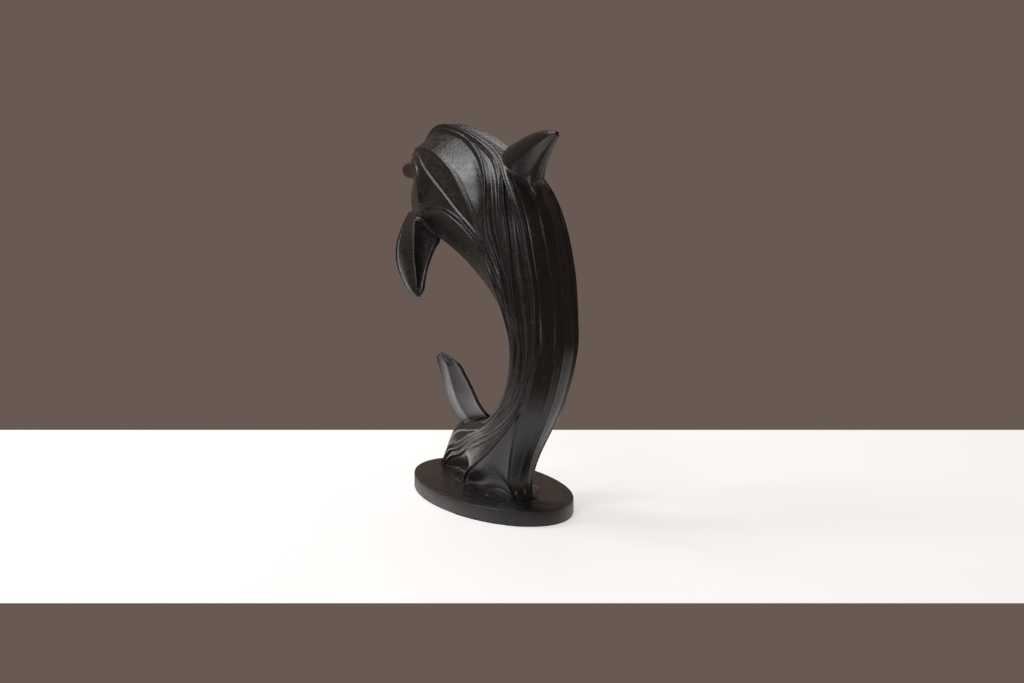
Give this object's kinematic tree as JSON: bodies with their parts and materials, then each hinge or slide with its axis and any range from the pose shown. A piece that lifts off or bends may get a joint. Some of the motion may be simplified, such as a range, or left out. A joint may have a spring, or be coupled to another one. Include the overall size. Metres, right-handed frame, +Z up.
{
  "type": "dolphin statue",
  "caption": "Black printed figure of a leaping dolphin with flowing ridges along its arched body, standing on a long oval plinth.",
  "frame": {"origin": "centre of the oval plinth's underside", "axes": "+X along the plinth's long axis towards the head, +Y to the dolphin's left, +Z up"},
  "size_m": [0.1593, 0.0629, 0.1604],
  "materials": {
    "black_plastic": "satin black printed plastic with fine layer lines"
  },
  "bodies": {
    "root": {"dolphin_statue": "black_plastic"}
  },
  "joints": []
}
